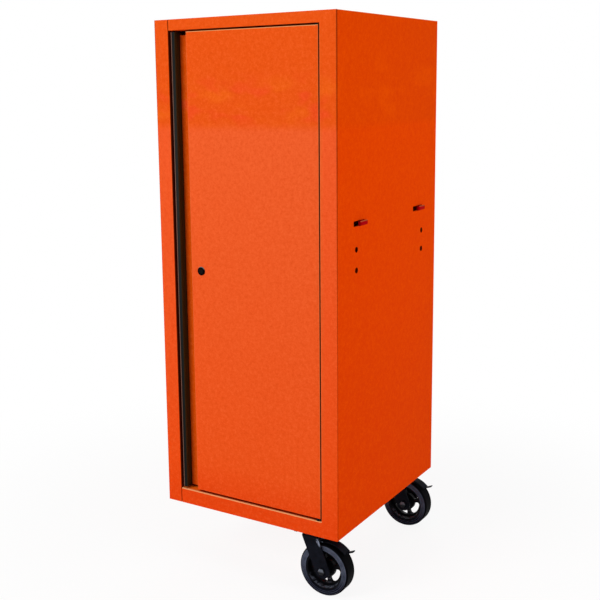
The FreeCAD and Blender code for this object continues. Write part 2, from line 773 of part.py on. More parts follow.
def build_lock():
    write("lock_housing", lock_housing())
    write("lock_nut", lock_nut())
    write("lock_plug", lock_plug())
    write("lock_cam", lock_cam())
    write("cam_screw", cam_screw())
    write("lock_strike", lock_strike())
    housings = []
    plates = []
    plate_back = door_back_y + catch_plate_sheet
    plate_left = handle_left + catch_plate_inset
    for level in catch_levels:
        half = catch_height / 2
        housings.append(box(opening_left, opening_left + catch_width, plate_back + catch_gap,
                            plate_back + catch_gap + catch_depth, level - half, level + half))
        half = catch_plate_height / 2
        plates.append(box(plate_left, plate_left + catch_plate_width, door_back_y, plate_back,
                          level - half, level + half))
    write("magnet_catches", *housings)
    write("catch_plates", *plates)


# ---- Casters ----
def caster_plate(middle_y):
    """Mounting plate with its four bolt holes and the upper ball race."""
    half_x = plate_length / 2
    half_y = plate_width / 2
    plate = box(swivel_x - half_x, swivel_x + half_x, middle_y - half_y, middle_y + half_y, -plate_sheet, 0)
    corners = [{"x": swivel_x + sx * half_x, "y": middle_y + sy * half_y} for sx in (-1, 1) for sy in (-1, 1)]
    plate = round_edges(plate, plate_corner, V(0, 0, 1), *corners)
    race = tube(race_outer, race_inner, (swivel_x, middle_y, race_gap_z), (swivel_x, middle_y, -plate_sheet))
    pin_hole = hole_z(kingpin_radius + seat_fit, swivel_x, middle_y, -plate_sheet, 0)
    return join([plate, race]).cut([ball_groove(middle_y), pin_hole] + caster_holes())


def ball_level():
    return race_gap_z - race_gap / 2


def ball_ring():
    return (race_inner + race_outer) / 2


def ball_groove(middle_y):
    return Part.makeTorus(ball_ring(), ball_radius + running_fit, V(swivel_x, middle_y, ball_level()))


def swivel_balls(middle_y):
    balls = []
    for step in range(ball_count):
        turn = 2 * math.pi * step / ball_count
        x = swivel_x + ball_ring() * math.cos(turn)
        y = middle_y + ball_ring() * math.sin(turn)
        balls.append(Part.makeSphere(ball_radius, V(x, y, ball_level())))
    return balls


def kingpin(middle_y):
    """Pin through the plate and the fork's crown, with its hexagonal head below."""
    low = crown_bottom - kingpin_gap - kingpin_head_height
    pin = rod(kingpin_radius, (swivel_x, middle_y, low), (swivel_x, middle_y, 0))
    head_top = low + kingpin_head_height
    head = hexagon(kingpin_head_across, (swivel_x, middle_y, low), (swivel_x, middle_y, head_top))
    return join([pin, head])


def tangent_point(corner, centre, radius, side):
    """Where a line from the corner touches the circle, on the given side."""
    dx = centre[0] - corner[0]
    dz = centre[1] - corner[1]
    distance = math.hypot(dx, dz)
    turn = math.atan2(-dz, -dx) + side * math.acos(radius / distance)
    return (centre[0] + radius * math.cos(turn), centre[1] + radius * math.sin(turn))


def fork_outline(y0, y1):
    """Side view of the fork: wide at the crown and tapering to a round end at the axle."""
    half = fork_top_width / 2
    left = (swivel_x - half, crown_top)
    right = (swivel_x + half, crown_top)
    centre = (axle_x, axle_z)
    left_touch = tangent_point(left, centre, fork_end_radius, 1)
    right_touch = tangent_point(right, centre, fork_end_radius, -1)
    low = (axle_x, axle_z - fork_end_radius)
    corner = [V(x, y0, z) for x, z in (left, left_touch, low, right_touch, right)]
    edges = [Part.LineSegment(corner[0], corner[1]).toShape(),
             Part.Arc(corner[1], corner[2], corner[3]).toShape(),
             Part.LineSegment(corner[3], corner[4]).toShape(),
             Part.LineSegment(corner[4], corner[0]).toShape()]
    return Part.Face(Part.Wire(edges)).extrude(V(0, y1 - y0, 0))


def fork(middle_y):
    """Swivelling fork with the lower ball race on its crown."""
    low = axle_z - fork_end_radius - past
    x0 = swivel_x - fork_top_width
    x1 = axle_x + fork_end_radius + past
    outer = box(x0, x1, middle_y - fork_outer, middle_y + fork_outer, low, crown_top)
    tops = [{"y": middle_y + way * fork_outer, "z": crown_top} for way in (-1, 1)]
    outer = round_edges(outer, fork_bend, V(1, 0, 0), *tops)
    inner = box(x0 - past, x1 + past, middle_y - fork_inner, middle_y + fork_inner, low - past, crown_bottom)
    bends = [{"y": middle_y + way * fork_inner, "z": crown_bottom} for way in (-1, 1)]
    inner = round_edges(inner, fork_bend - fork_sheet, V(1, 0, 0), *bends)
    legs = outer.cut(inner).common(fork_outline(middle_y - fork_outer - past, middle_y + fork_outer + past))
    crown = rod(fork_crown_radius, (swivel_x, middle_y, crown_bottom), (swivel_x, middle_y, crown_top))
    wheel_side = box(x0, x1, middle_y - fork_outer + fork_bend, middle_y + fork_outer - fork_bend,
                     crown_bottom, crown_top)
    race_top = crown_top + fork_race_height
    race = tube(race_outer, race_inner, (swivel_x, middle_y, crown_top), (swivel_x, middle_y, race_top))
    body = join([legs, crown.common(wheel_side), race])
    y0 = middle_y - fork_outer
    y1 = middle_y + fork_outer
    pin_hole = hole_z(kingpin_radius + running_fit, swivel_x, middle_y, crown_bottom, race_top)
    axle_hole = hole_y(axle_radius + seat_fit, axle_x, axle_z, y0, y1)
    brake_hole = hole_y(brake_pin_radius + seat_fit, swivel_x + brake_pivot_x, -brake_pivot_drop, y0, y1)
    return body.cut([ball_groove(middle_y), pin_hole, axle_hole, brake_hole])


def axle_rod(radius, middle_y, y0, y1):
    return rod(radius, (axle_x, middle_y + y0, axle_z), (axle_x, middle_y + y1, axle_z))


def axle_bolt(middle_y):
    """Hexagon bolt with its head in front of the fork."""
    under_head = middle_y - fork_outer
    head_end = under_head - axle_head_height
    head = hexagon(axle_head_across, (axle_x, head_end, axle_z), (axle_x, under_head, axle_z))
    corner = axle_head_across / math.sqrt(3) + past
    slope = (corner - axle_head_face) * math.tan(math.radians(axle_head_chamfer))
    blank = turned_about_y([(0, 0), (axle_head_face, 0), (corner, slope), (corner, axle_head_height),
                            (0, axle_head_height)], axle_x, head_end, axle_z)
    shank = axle_rod(axle_radius, middle_y, -fork_outer, fork_outer + axle_nut_height + axle_tail)
    return join([head.common(blank), shank])


def axle_nut(middle_y):
    start = (axle_x, middle_y + fork_outer, axle_z)
    end = (axle_x, middle_y + fork_outer + axle_nut_height, axle_z)
    bore = axle_rod(axle_radius + seat_fit, middle_y, fork_outer - past, fork_outer + axle_nut_height + past)
    return hexagon(axle_head_across, start, end).cut(bore)


def axle_sleeve(middle_y):
    """Bushing that the wheel turns on, held between the fork's legs."""
    half = fork_inner - sleeve_end_gap
    inner = axle_radius + seat_fit
    return axle_rod(inner + sleeve_wall, middle_y, -half, half).cut(axle_rod(inner, middle_y, -half, half))


def window(turn, middle_y):
    """Opening in the wheel's web: a piece of a ring with rounded corners."""
    inner = hub_radius + window_inner_web
    outer = rim_radius - rim_wall - window_outer_web
    y0 = middle_y - web_thickness
    y1 = middle_y + web_thickness
    ring = tube(outer, inner, (axle_x, y0, axle_z), (axle_x, y1, axle_z))
    fan = [(axle_x, axle_z)]
    for way in (-1, 0, 1):
        bearing = math.radians(turn + way * window_spread)
        fan.append((axle_x + 2 * outer * math.cos(bearing), axle_z + 2 * outer * math.sin(bearing)))
    block = ring.common(prism_y(fan, y0, y1))
    corners = [e for e in block.Edges if e.BoundBox.XLength < 1e-3 and e.BoundBox.ZLength < 1e-3]
    return block.makeFillet(min(window_round, window_round_share * (outer - inner)), corners)


def wheel_core(middle_y):
    """Hub, web with its windows, and rim."""
    bore = axle_radius + seat_fit + sleeve_wall + running_fit
    web = web_thickness / 2
    hub = hub_width / 2
    rim = wheel_width / 2 - rim_inset
    rim_inner = rim_radius - rim_wall
    half_profile = [(bore, hub), (hub_radius, hub), (hub_radius + web_draft, web),
                    (rim_inner - web_draft, web), (rim_inner, rim), (rim_radius, rim)]
    outline = half_profile + [(r, -offset) for r, offset in reversed(half_profile)]
    core = turned_about_y(outline, axle_x, middle_y, axle_z)
    windows = [window(window_phase + 360 * step / window_count, middle_y) for step in range(window_count)]
    return core.cut(windows)


def tyre(middle_y):
    """Rubber tread ring with stepped, ribbed side walls."""
    inner = rim_radius + seat_fit
    half = wheel_width / 2
    step = half - tyre_step_depth
    solid = axle_rod(wheel_radius, middle_y, -half, half)
    solid = solid.makeFillet(tyre_shoulder, [e for e in solid.Edges if e.BoundBox.YLength < 1e-6])
    cuts = [axle_rod(inner, middle_y, -half - past, half + past)]
    for index in range(tyre_ring_count):
        low = rim_radius + tyre_ring_start + tyre_ring_pitch * index
        high = low + tyre_ring_width
        for way in (-1, 1):
            ring = axle_rod(high, middle_y, way * step, way * (half + past))
            cuts.append(ring.cut(axle_rod(low, middle_y, way * step, way * (half + past))))
    return solid.cut(cuts)


def brake_pedal(middle_y):
    """Pedal that hangs over the tread. It is shaped pressed, and then turned up to its released place."""
    pivot = V(swivel_x + brake_pivot_x, middle_y, -brake_pivot_drop)
    inner = wheel_radius + brake_gap
    outer = inner + brake_sheet
    half = brake_shoe_width / 2
    arc = axle_rod(outer, middle_y, -half, half).cut(axle_rod(inner, middle_y, -half, half))
    reach = 2 * outer
    start = math.radians(brake_arc_start)
    end = math.radians(brake_arc_end)
    fan = [(axle_x, axle_z), (axle_x + reach * math.cos(end), axle_z + reach * math.sin(end)),
           (axle_x + reach, axle_z + 2 * reach),
           (axle_x + reach * math.cos(start), axle_z + reach * math.sin(start))]
    arc = arc.common(prism_y(fan, middle_y - half, middle_y + half))
    rise = math.radians(brake_tip_rise)
    root = (axle_x + inner * math.cos(end), axle_z + inner * math.sin(end))
    back_off = (root[0] - brake_sheet * math.cos(rise), root[1] - brake_sheet * math.sin(rise))
    tip = (root[0] + brake_tip_length * math.cos(rise), root[1] + brake_tip_length * math.sin(rise))
    lift = (-brake_sheet * math.sin(rise), brake_sheet * math.cos(rise))
    tip_half = brake_tip_width / 2
    upper = [(x + lift[0], z + lift[1]) for x, z in (tip, back_off)]
    tongue = prism_y([back_off, tip] + upper, middle_y - tip_half, middle_y + tip_half)
    tongue = tongue.cut(axle_rod(inner, middle_y, -half, half))
    y0 = middle_y - brake_half
    y1 = middle_y + brake_half
    barrel = rod(brake_barrel_radius, (pivot.x, y0, pivot.z), (pivot.x, y1, pivot.z))
    bore = hole_y(brake_pin_radius + running_fit, pivot.x, pivot.z, y0, y1)
    pedal = join([arc, tongue, barrel]).cut(bore)
    pedal.rotate(pivot, V(0, 1, 0), -brake_travel)
    return pedal


def brake_pin(middle_y):
    x = swivel_x + brake_pivot_x
    z = -brake_pivot_drop
    shank = rod(brake_pin_radius, (x, middle_y - fork_outer, z), (x, middle_y + fork_outer, z))
    heads = [rod(brake_pin_head, (x, middle_y + way * fork_outer, z),
                 (x, middle_y + way * (fork_outer + brake_pin_head_height), z)) for way in (-1, 1)]
    return join([shank] + heads)


def caster_bolts():
    """Bolts up through the plates and the base, each with its nut inside the channel."""
    solids = []
    for x, y in caster_hole_places():
        web_top = sheet + channel_sheet
        top = web_top + nut_height
        head = hexagon(bolt_across, (x, y, -plate_sheet - bolt_head_height), (x, y, -plate_sheet))
        shank = rod(bolt_radius, (x, y, -plate_sheet), (x, y, top + bolt_tail))
        nut = hexagon(bolt_across, (x, y, web_top), (x, y, top))
        solids.append(join([head, shank]))
        solids.append(nut.cut(hole_z(bolt_radius + seat_fit, x, y, web_top, top)))
    return solids


def build_casters():
    write("caster_bolts", *caster_bolts())
    pieces = {"caster_plate": caster_plate, "kingpin": kingpin, "fork": fork, "axle_bolt": axle_bolt,
              "axle_nut": axle_nut, "axle_sleeve": axle_sleeve, "wheel_core": wheel_core, "tyre": tyre,
              "brake_pedal": brake_pedal, "brake_pin": brake_pin}
    for place, middle_y in swivels.items():
        for name, make in pieces.items():
            write(place + "_" + name, make(middle_y))
        write(place + "_swivel_balls", *swivel_balls(middle_y))


os.makedirs("parts", exist_ok=True)
build_shell()
build_base()
build_hooks()
build_shelves()
build_door()
build_lock()
build_casters()
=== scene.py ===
import json
import math

import bpy
from mathutils import Matrix, Vector


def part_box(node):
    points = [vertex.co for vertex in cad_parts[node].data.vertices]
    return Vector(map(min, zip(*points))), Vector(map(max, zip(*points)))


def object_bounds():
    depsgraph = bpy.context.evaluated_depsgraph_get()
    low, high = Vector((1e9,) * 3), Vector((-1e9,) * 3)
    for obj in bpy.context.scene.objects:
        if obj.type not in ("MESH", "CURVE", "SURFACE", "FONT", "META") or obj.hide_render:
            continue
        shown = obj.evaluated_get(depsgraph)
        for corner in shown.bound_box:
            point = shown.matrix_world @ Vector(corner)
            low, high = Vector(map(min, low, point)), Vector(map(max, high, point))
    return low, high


# Looks of the tool chest side locker.
# Metres, +Z up, +X to the right of someone who faces the door, +Y to the back.

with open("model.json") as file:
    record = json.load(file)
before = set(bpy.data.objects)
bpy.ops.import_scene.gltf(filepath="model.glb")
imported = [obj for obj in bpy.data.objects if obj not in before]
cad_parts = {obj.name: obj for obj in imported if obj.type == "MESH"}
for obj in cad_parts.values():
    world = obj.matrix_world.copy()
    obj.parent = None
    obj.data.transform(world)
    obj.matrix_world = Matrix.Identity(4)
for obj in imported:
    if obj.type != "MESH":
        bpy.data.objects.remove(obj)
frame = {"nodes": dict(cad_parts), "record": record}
cad_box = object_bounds()
nodes = frame["nodes"]
half_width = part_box("right_side_panel")[1].x
frame_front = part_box("bottom_rail")[0].y
door_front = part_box("door_skin")[0].y
recess_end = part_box("door_skin")[0].x

# ---- Camera, fitted to the corners of the body in the photograph ----
CAMERA_AZIMUTH = 32.92            # degrees from the front, towards the right side
CAMERA_ELEVATION = 9.88
CAMERA_ROLL = -0.90
CAMERA_PLACE = (1.26491, -2.16030, 1.01973)
FOCAL_PIXELS = 1004.58
OPTICAL_CENTRE = (258.67, 263.81)  # pixel of the photograph
PICTURE_SIDE = 600
SENSOR_MM = 36.0

# ---- Studio ----
FLOOR_HALF = 8.0
FLOOR_COLOUR = (0.93, 0.93, 0.93)
FLOOR_FADE = (0.5, 1.5)            # from the middle of the object: where the floor turns plain white
FLOOR_WHITE = 0.9                  # share of plain white in the floor near the object
AMBIENT = 0.2                      # world's light, apart from what the camera, gloss and glass see
LAMP_TARGET = Vector((0.0, 0.0, 0.55))
LAMPS = {                          # place, width, height, watts
    "key_lamp": ((-2.7, -6.6, 5.2), 3.4, 2.8, 316.0),
    "fill_lamp": ((-2.3, -3.4, 0.5), 1.4, 1.4, 22.0),
    "side_lamp": ((3.6, -0.2, 1.3), 2.0, 2.0, 52.0),
    "top_lamp": ((0.3, -0.9, 3.2), 1.6, 1.6, 20.0),
    "back_lamp": ((-1.2, 3.2, 2.0), 2.2, 2.2, 40.0),
}

# ---- Places where a finish changes ----
# A pair runs from where a tone is absent to where it is full, up or down.
# Four values run from absent to full, and from full back to absent.
DOOR_FIELD_X = (-0.165, -0.16, 0.205, 0.21)    # the door's flat, a shade pinker than the frame round it
FRONT_RISE_Z = (0.1, 0.93)                     # painted light: the front grows paler upwards
FRONT_FOOT_Z = (0.12, 0.03)                    # and painted shade deepens it towards the floor
GLOW_END_Z = (0.925, 0.945)                    # where that painted glow stops, all round
FRONT_PATCHES_Z = (0.93, 0.96, 1.01, 1.06)     # soft patches of painted reflection above it
# the sides' soft patches of painted reflection
SIDE_PATCHES_Z = (0.93, 0.97, 1.06, 1.12)
SIDE_RISE_Z = (0.15, 0.9)                      # painted light: the sides grow paler upwards
SIDE_RISE_Y = (-0.2, 0.2)                      # and towards the back
RECESS_DEPTH = (0.004, 0.006, 0.028, 0.03)     # behind the door's front, the floor of the finger recess, in painted shade
HOLES_Z = (0.5, 0.52, 0.78, 0.8)               # the part of the sides that holds bolt holes and slots
HOLES_Y = (0.25, 0.24)                         # how far from the middle they reach, front and back
CUT_EDGE = (0.003, 0.0025)                     # inside the body's side, the cut edge of its sheet, whose walls in the holes are painted dark as shade
CORNER_WIDTH = (0.002, 0.0008)                 # inside the body's side, the painted shade line down its corners
CORNER_DEPTH = (0.005, 0.002)                  # behind the frame's front, the same line
CORNER_Z = (0.45, 1.18)                        # its painted shade darkens upwards
HIDDEN_DEPTH = (0.004, 0.008)                  # inside the body's side, faces seen through its openings, painted dark as shade
JOINT_SHADE_REACH = 0.009                            # how far from a joint's walls its painted shade is judged
SILL_Z = (0.05, 0.045)                         # the sill below the door
SILL_LIP = (0.0065, 0.0035)                    # behind the frame's front, the painted highlight on its lip
RECESS_EDGE = 0.001                            # how softly the sill's part below the recess ends
RECESS_SILL = (0.03, 0.026)                    # how far back that part runs
ZINC_SHADE_REACH = 0.03                              # the same reach for zinc, whose painted shade lies in wider corners
BELOW_BASE_SHADE_Z = (0.0, -0.002)                   # zinc below the base is painted nearly black, as shade
GRIP_HIGHLIGHT = (0.004, 0.0025)                     # from the pull strip's outer side, its painted highlight
PLUG_PLAIN = (0.002, 0.006)                    # from the middle of the lock's plug, where its brighter, redder middle gives way to dark
FORK_EDGE = (0.1794, -0.012)                   # X and Z where the trailing edge of a fork's leg starts
FORK_EDGE_SLOPE = 0.392                        # how far that edge runs back for each metre down
FORK_GLINT_DROP = (0.002, 0.008, 0.014, 0.022)   # below the edge's start, the painted highlight on the leg
FORK_GLINT_IN = (0.0065, 0.004)                  # and inside the edge
FORK_GLINT_OUT = (-0.002, -0.001)                # but not beyond it
TREAD_ROUND = (0.0045, 0.003)                  # inside the wheel's radius, where the tread starts
WALL_FOOT_SHADE = (1.1, 0.4)                        # in wheel radii above its foot, where painted shade darkens the tyre's wall downwards
RIM_DUST_DROP = (0.016, 0.026)                 # below the axle, the dusty part of the wheel's rim
AXLE_Z = -0.0921                               # height of the wheels' axles
AXLE_HEAD = (-0.002, 0.003, 0.015, 0.02)       # above it, the painted glint on the bolts' heads
PATCH_EDGE = 0.16                              # how gradually a soft patch fades in, by its noise
OPEN_SKY = (0.68, 0.2)                         # share of open sky over a face, where a joint's painted shade lies

# ---- Ways that a face is turned: the same limits, for X, Y or Z of its normal ----
FRONT_FACES = (-0.3, -0.8)                     # Y of the painted faces that take the front's lit tone, not the sides' shaded copy
FACES_FORWARD = (-0.5, -0.9)                   # Y
FACES_RIGHT = (0.5, 0.9)                       # X
FACES_ALONG = (0.3, 0.1)                       # X, either way, of a wall that the side's sheet was cut to
FACES_UP = (0.85, 0.97)                        # Z
BEND_UP = (0.15, 0.45, 0.9, 0.97)              # Z of a bend between an upright face and a level one
BEND_SIDEWAYS = (0.2, 0.5, 0.9, 0.97)          # X, either way, of a bend between the front and a side
GRIP_FACES = (0.3, 0.8)                        # X of the pull strip's grip side, which carries a painted reflection of the orange recess
GRIP_FRONT = (-0.15, -0.4)                     # Y of its front
HOOK_ROUNDING = (0.35, 0.7, 0.93, 0.99)        # Z of the hooks' upper rounding, with its painted highlight
RIM_ROUNDING = (0.25, 0.6)                     # Z of the upper rounding of the lock's bezel, with its painted glint


def srgb(red, green, blue):
    """Linear colour with alpha, from the 0 to 255 values that a picture shows."""
    def linear(value):
        value /= 255
        return value / 12.92 if value <= 0.04045 else ((value + 0.055) / 1.055) ** 2.4
    return (linear(red), linear(green), linear(blue), 1.0)


# ---- Camera and studio ----
def make_camera():
    azimuth = math.radians(CAMERA_AZIMUTH)
    elevation = math.radians(CAMERA_ELEVATION)
    back = Vector((math.sin(azimuth) * math.cos(elevation), -math.cos(azimuth) * math.cos(elevation),
                   math.sin(elevation)))
    right = Vector((0, 0, 1)).cross(back).normalized()
    level = Matrix((right, back.cross(right), back)).transposed()
    roll = Matrix.Rotation(math.radians(CAMERA_ROLL), 3, "Z")
    data = bpy.data.cameras.new("photo_camera")
    data.sensor_width = SENSOR_MM
    data.lens = SENSOR_MM * FOCAL_PIXELS / PICTURE_SIDE
    middle = PICTURE_SIDE / 2
    data.shift_x = (middle - OPTICAL_CENTRE[0]) / PICTURE_SIDE
    data.shift_y = (OPTICAL_CENTRE[1] - middle) / PICTURE_SIDE
    data.clip_end = 50.0
    camera = bpy.data.objects.new("photo_camera", data)
    camera.matrix_world = Matrix.Translation(Vector(CAMERA_PLACE)) @ (level @ roll).to_4x4()
    bpy.context.scene.collection.objects.link(camera)
    bpy.context.scene.camera = camera


def make_lamp(name, place, width, height, watts):
    data = bpy.data.lights.new(name, "AREA")
    data.shape = "RECTANGLE"
    data.size = width
    data.size_y = height
    data.energy = watts
    lamp = bpy.data.objects.new(name, data)
    lamp.location = place
    lamp.rotation_euler = (LAMP_TARGET - Vector(place)).to_track_quat("-Z", "Y").to_euler()
    bpy.context.scene.collection.objects.link(lamp)


def looked_at(tree):
    """1 for the rays that the camera sees by: straight, off gloss or through glass."""
    path = tree.nodes.new("ShaderNodeLightPath")
    seen = path.outputs["Is Camera Ray"]
    for name in ("Is Glossy Ray", "Is Transmission Ray"):
        more = tree.nodes.new("ShaderNodeMath")
        more.operation = "MAXIMUM"
        tree.links.new(seen, more.inputs[0])
        tree.links.new(path.outputs[name], more.inputs[1])
        seen = more.outputs[0]
    return seen


def make_world():
    """White where the camera, gloss or glass looks, and a weaker plain light elsewhere."""
    world = bpy.data.worlds.new("studio")
    world.use_nodes = True
    bpy.context.scene.world = world
    tree = world.node_tree
    tree.nodes.clear()
    level = tree.nodes.new("ShaderNodeMapRange")
    level.inputs["To Min"].default_value = AMBIENT
    tree.links.new(looked_at(tree), level.inputs["Value"])
    light = tree.nodes.new("ShaderNodeBackground")
    light.inputs["Color"].default_value = (1, 1, 1, 1)
    tree.links.new(level.outputs["Result"], light.inputs["Strength"])
    output = tree.nodes.new("ShaderNodeOutputWorld")
    tree.links.new(light.outputs[0], output.inputs[0])


def make_floor():
    """Pale floor that keeps the object's shadow and fades to plain white further out."""
    level = cad_box[0][2]
    corners = [(x * FLOOR_HALF, y * FLOOR_HALF, level) for x, y in ((-1, -1), (1, -1), (1, 1), (-1, 1))]
    mesh = bpy.data.meshes.new("floor")
    mesh.from_pydata(corners, [], [(0, 1, 2, 3)])
    floor = bpy.data.objects.new("floor", mesh)
    bpy.context.scene.collection.objects.link(floor)
    material = bpy.data.materials.new("floor")
    material.use_nodes = True
    tree = material.node_tree
    tree.nodes.clear()
    matt = tree.nodes.new("ShaderNodeBsdfDiffuse")
    matt.inputs["Color"].default_value = (*FLOOR_COLOUR, 1)
    white = tree.nodes.new("ShaderNodeEmission")
    place = tree.nodes.new("ShaderNodeNewGeometry")
    distance = tree.nodes.new("ShaderNodeVectorMath")
    distance.operation = "LENGTH"
    tree.links.new(place.outputs["Position"], distance.inputs[0])
    far = tree.nodes.new("ShaderNodeMapRange")
    far.interpolation_type = "SMOOTHSTEP"
    far.inputs["From Min"].default_value = FLOOR_FADE[0]
    far.inputs["From Max"].default_value = FLOOR_FADE[1]
    far.inputs["To Min"].default_value = FLOOR_WHITE
    tree.links.new(distance.outputs["Value"], far.inputs["Value"])
    share = tree.nodes.new("ShaderNodeMath")
    share.operation = "MULTIPLY"
    tree.links.new(far.outputs["Result"], share.inputs[0])
    tree.links.new(looked_at(tree), share.inputs[1])
    mix = tree.nodes.new("ShaderNodeMixShader")
    tree.links.new(share.outputs[0], mix.inputs["Fac"])
    tree.links.new(matt.outputs[0], mix.inputs[1])
    tree.links.new(white.outputs[0], mix.inputs[2])
    output = tree.nodes.new("ShaderNodeOutputMaterial")
    tree.links.new(mix.outputs[0], output.inputs["Surface"])
    mesh.materials.append(material)


# ---- Materials ----
class Finish:
    """A material with one Principled shader, and short calls for the nodes that feed it."""

    def __init__(self, name, roughness=0.5, specular=0.5, metallic=0.0):
        self.material = bpy.data.materials.new(name)
        self.material.use_nodes = True
        self.tree = self.material.node_tree
        self.shader = self.tree.nodes["Principled BSDF"]
        self.shader.inputs["Roughness"].default_value = roughness
        self.shader.inputs["Specular IOR Level"].default_value = specular
        self.shader.inputs["Metallic"].default_value = metallic
        places = self.tree.nodes.new("ShaderNodeTexCoord")
        self.place = places.outputs["Object"]
        self.normal = places.outputs["Normal"]

    def add(self, kind, **settings):
        node = self.tree.nodes.new(kind)
        for name, value in settings.items():
            setattr(node, name, value)
        return node

    def feed(self, socket, value):
        """Link an output to a socket, or set a plain value on it."""
        if isinstance(value, bpy.types.NodeSocket):
            self.tree.links.new(value, socket)
        else:
            socket.default_value = value

    def noise(self, scale, detail=2.0, roughness=0.5, place=None):
        node = self.add("ShaderNodeTexNoise")
        self.feed(node.inputs["Vector"], place or self.place)
        node.inputs["Scale"].default_value = scale
        node.inputs["Detail"].default_value = detail
        node.inputs["Roughness"].default_value = roughness
        return node.outputs["Fac"]

    def stretched(self, x, y, z):
        """Place with its axes scaled, for grain that runs one way."""
        node = self.add("ShaderNodeMapping")
        self.feed(node.inputs["Vector"], self.place)
        node.inputs["Scale"].default_value = (x, y, z)
        return node.outputs["Vector"]

    def span(self, value, low, high, out_low=0.0, out_high=1.0):
        node = self.add("ShaderNodeMapRange")
        self.feed(node.inputs["Value"], value)
        self.feed(node.inputs["From Min"], low)
        self.feed(node.inputs["From Max"], high)
        self.feed(node.inputs["To Min"], out_low)
        self.feed(node.inputs["To Max"], out_high)
        return node.outputs["Result"]

    def fade(self, value, limits, start=0.0, unit=1):
        """0 to 1 over a pair of limits, measured from a start; a unit of -1 measures the other way."""
        return self.span(value, start + unit * limits[0], start + unit * limits[1])

    def window(self, value, limits, start=0.0):
        """0 to 1 over the first two limits and back to 0 over the last two."""
        rise, full, fall, end = limits
        return self.times(self.fade(value, (rise, full), start), self.fade(value, (end, fall), start))

    def times(self, *values):
        """Product of masks and shares."""
        product = values[0]
        for value in values[1:]:
            product = self.maths("MULTIPLY", product, value)
        return product

    def maths(self, operation, first, second=0.0):
        node = self.add("ShaderNodeMath", operation=operation)
        self.feed(node.inputs[0], first)
        self.feed(node.inputs[1], second)
        return node.outputs[0]

    def mix(self, share, first, second):
        node = self.add("ShaderNodeMix", data_type="RGBA")
        self.feed(node.inputs["Factor"], share)
        colour_a, colour_b = [s for s in node.inputs if s.type == "RGBA"]
        self.feed(colour_a, first)
        self.feed(colour_b, second)
        return [s for s in node.outputs if s.type == "RGBA"][0]

    def colour(self, value):
        self.feed(self.shader.inputs["Base Color"], value)

    def rough(self, value):
        self.feed(self.shader.inputs["Roughness"], value)

    def bump(self, *layers):
        """Each layer is a height output, its depth in metres and its strength."""
        normal = None
        for height, depth, strength in layers:
            node = self.add("ShaderNodeBump")
            node.inputs["Strength"].default_value = strength
            node.inputs["Distance"].default_value = depth
            self.feed(node.inputs["Height"], height)
            if normal:
                self.feed(node.inputs["Normal"], normal)
            normal = node.outputs["Normal"]
        self.feed(self.shader.inputs["Normal"], normal)

    def crevice(self, reach):
        """1 deep in a narrow joint and 0 on an open face, over a reach in metres."""
        node = self.add("ShaderNodeAmbientOcclusion", samples=8)
        node.inputs["Distance"].default_value = reach
        return self.fade(node.outputs["AO"], OPEN_SKY)

    def parts(self, vector):
        """The X, Y and Z of a vector."""
        return self.add_linked("ShaderNodeSeparateXYZ", vector).outputs

    def add_linked(self, kind, value):
        node = self.add(kind)
        self.feed(node.inputs[0], value)
        return node

    def axis_distance(self, centre):
        """Distance from a line along Y through a point."""
        node = self.add("ShaderNodeVectorMath", operation="SUBTRACT")
        self.feed(node.inputs[0], self.place)
        node.inputs[1].default_value = centre
        flat = self.add("ShaderNodeVectorMath", operation="MULTIPLY")
        self.feed(flat.inputs[0], node.outputs["Vector"])
        flat.inputs[1].default_value = (1, 0, 1)
        length = self.add("ShaderNodeVectorMath", operation="LENGTH")
        self.feed(length.inputs[0], flat.outputs["Vector"])
        return length.outputs["Value"]


def front_tone(paint, place, on_door):
    """Front faces, the lit copy of the paint: a painted glow with soft patches of painted reflection above
    it, and painted shade at the foot and in the finger recess.
    """
    low = paint.mix(on_door, srgb(237, 77, 20), srgb(237, 83, 26))
    high = paint.mix(on_door, srgb(240, 90, 41), srgb(238, 94, 43))
    tone = paint.mix(paint.fade(place["Z"], FRONT_RISE_Z), low, high)
    tone = paint.mix(paint.fade(place["Z"], FRONT_FOOT_Z), tone, srgb(232, 69, 15))
    tone = paint.mix(paint.fade(place["Z"], GLOW_END_Z), tone, srgb(233, 85, 20))
    tone = paint.mix(paint.window(place["Y"], RECESS_DEPTH, door_front), tone, srgb(216, 80, 4))
    band = paint.window(place["Z"], FRONT_PATCHES_Z)
    yellow = soft_patches(paint, (13, 13, 26), 0.5, 0.55)
    tone = paint.mix(paint.times(band, yellow), tone, srgb(240, 104, 22))
    pink = soft_patches(paint, (17, 17, 30), 0.52, 0.55)
    return paint.mix(paint.times(band, pink), tone, srgb(240, 70, 36))


def side_tone(paint, place):
    """Sides and back, the shaded copy of the paint: painted light grows paler upwards and backwards, with
    the same painted glow and patches of painted reflection, weaker.
    """
    rise = paint.maths("ADD", paint.span(place["Z"], *SIDE_RISE_Z, 0.0, 0.75),
                       paint.span(place["Y"], *SIDE_RISE_Y, 0.0, 0.25))
    tone = paint.mix(rise, srgb(228, 64, 0), srgb(240, 71, 0))
    tone = paint.mix(paint.fade(place["Z"], GLOW_END_Z), tone, srgb(233, 70, 0))
    patches = soft_patches(paint, (11, 11, 22), 0.5, 0.4)
    return paint.mix(paint.times(paint.window(place["Z"], SIDE_PATCHES_Z), patches), tone, srgb(244, 86, 0))


def soft_patches(paint, scales, level, strength):
    """Wide soft patches, where a noise passes a level."""
    noise = paint.noise(1.0, 1.0, 0.5, paint.stretched(*scales))
    return paint.span(noise, level, level + PATCH_EDGE, 0.0, strength)


def painted_highlights(paint, tone, facing, on_door):
    """Painted highlights, pale, on the bends that face up, and a little on the door's upright ones."""
    bend = paint.window(facing["Z"], BEND_UP)
    tone = paint.mix(paint.times(bend, 0.85), tone, srgb(244, 180, 118))
    across = paint.maths("ABSOLUTE", facing["X"])
    upright = paint.times(paint.window(across, BEND_SIDEWAYS), on_door, 0.3)
    return paint.mix(upright, tone, srgb(244, 176, 112))


